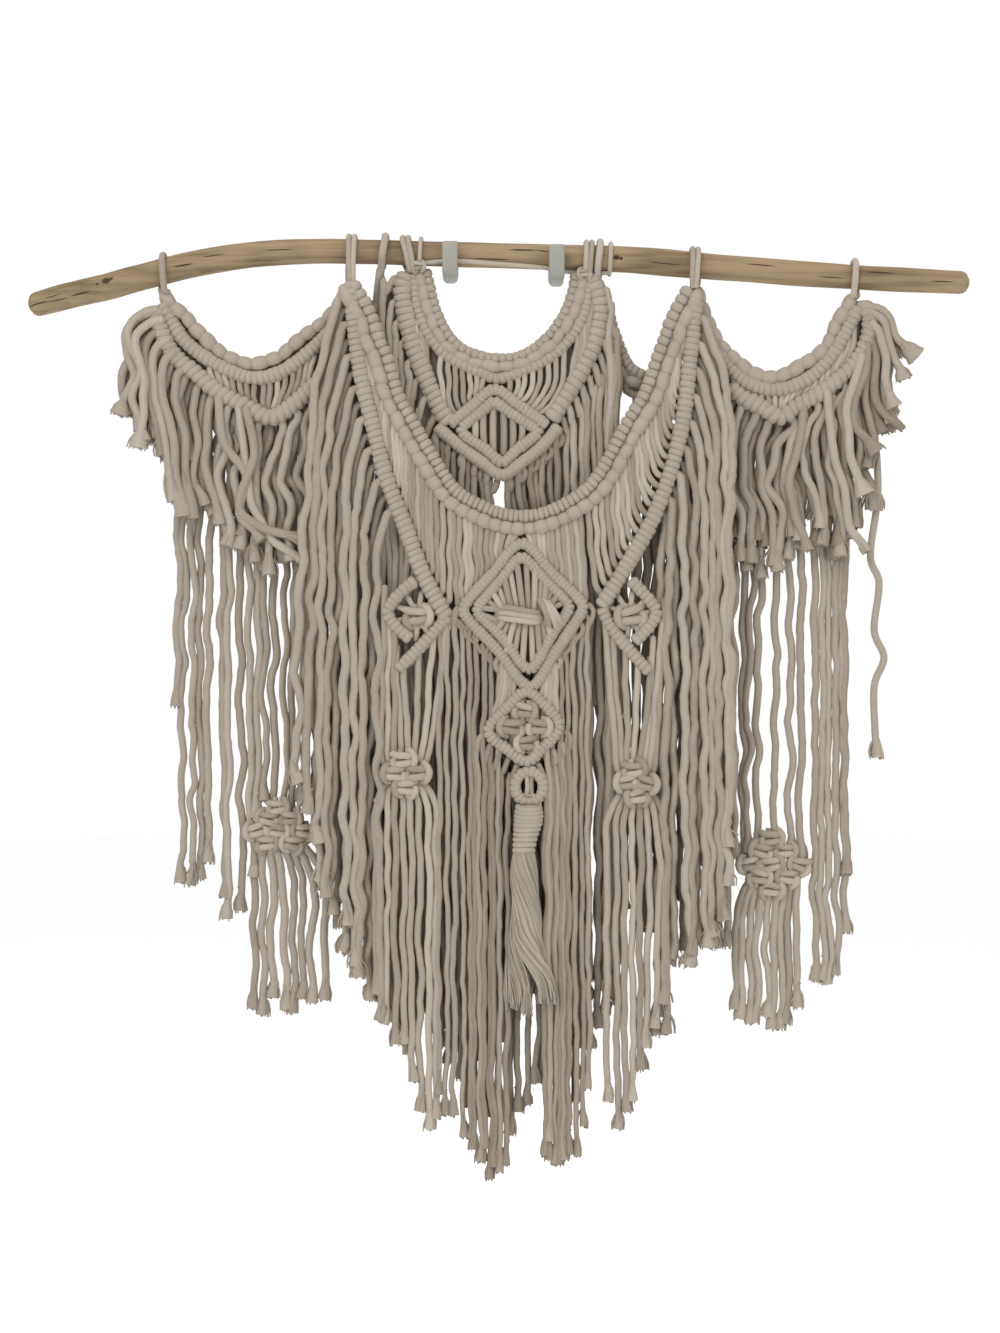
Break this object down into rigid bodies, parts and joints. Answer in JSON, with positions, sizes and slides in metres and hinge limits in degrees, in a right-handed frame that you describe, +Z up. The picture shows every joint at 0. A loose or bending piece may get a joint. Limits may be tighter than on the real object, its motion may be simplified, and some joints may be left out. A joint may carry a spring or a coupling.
{
  "type": "macrame wall hanging on a wooden stick with two hooks",
  "caption": "Layered macrame wall hanging of knotted cotton cord with swags, diamonds, a tassel and long fringe, tied to a driftwood stick that lies in two hooks.",
  "frame": {"origin": "on the wall, midway between the two hooks, level with the stick's axis there", "axes": "+Z up, +Y into the wall, so the front of the hanging faces -Y; +X to the right seen from the front"},
  "size_m": [0.757, 0.0586, 0.7575],
  "materials": {
    "cotton": "matte",
    "driftwood": "matte",
    "hook_plastic": "satin"
  },
  "bodies": {
    "root": {"back_left_cluster": "cotton", "back_left_fringe": "cotton", "back_left_heading": "cotton", "back_right_cluster": "cotton", "back_right_fringe": "cotton", "back_right_heading": "cotton", "hanging_cord": "cotton", "hook_left": "hook_plastic", "hook_right": "hook_plastic", "left_swag_band": "cotton", "left_swag_fringe": "cotton", "left_swag_heading": "cotton", "left_swag_net": "cotton", "left_swag_point_band": "cotton", "loop_back_left": "cotton", "loop_back_right": "cotton", "loop_left_swag": "cotton", "loop_main_left": "cotton", "loop_main_right": "cotton", "loop_middle_left": "cotton", "loop_middle_right": "cotton", "loop_right_swag": "cotton", "main_cluster_left": "cotton", "main_cluster_right": "cotton", "main_cords_small_left": "cotton", "main_cords_small_right": "cotton", "main_diamond": "cotton", "main_diamond_cords": "cotton", "main_diamond_inner": "cotton", "main_fringe_left": "cotton", "main_fringe_outer_left": "cotton", "main_fringe_outer_right": "cotton", "main_fringe_right": "cotton", "main_heading": "cotton", "main_net": "cotton", "main_ring": "cotton", "main_second_diamond": "cotton", "main_second_knots": "cotton", "main_side_left": "cotton", "main_side_right": "cotton", "main_small_diamond_left": "cotton", "main_small_diamond_right": "cotton", "main_tassel": "cotton", "main_wrap": "cotton", "middle_band": "cotton", "middle_diamond": "cotton", "middle_diamond_inner": "cotton", "middle_fringe": "cotton", "middle_heading": "cotton", "middle_net": "cotton", "middle_point_band": "cotton", "middle_side_left": "cotton", "middle_side_right": "cotton", "right_swag_band": "cotton", "right_swag_fringe": "cotton", "right_swag_heading": "cotton", "right_swag_net": "cotton", "right_swag_point_band": "cotton", "stick": "driftwood"}
  },
  "joints": []
}
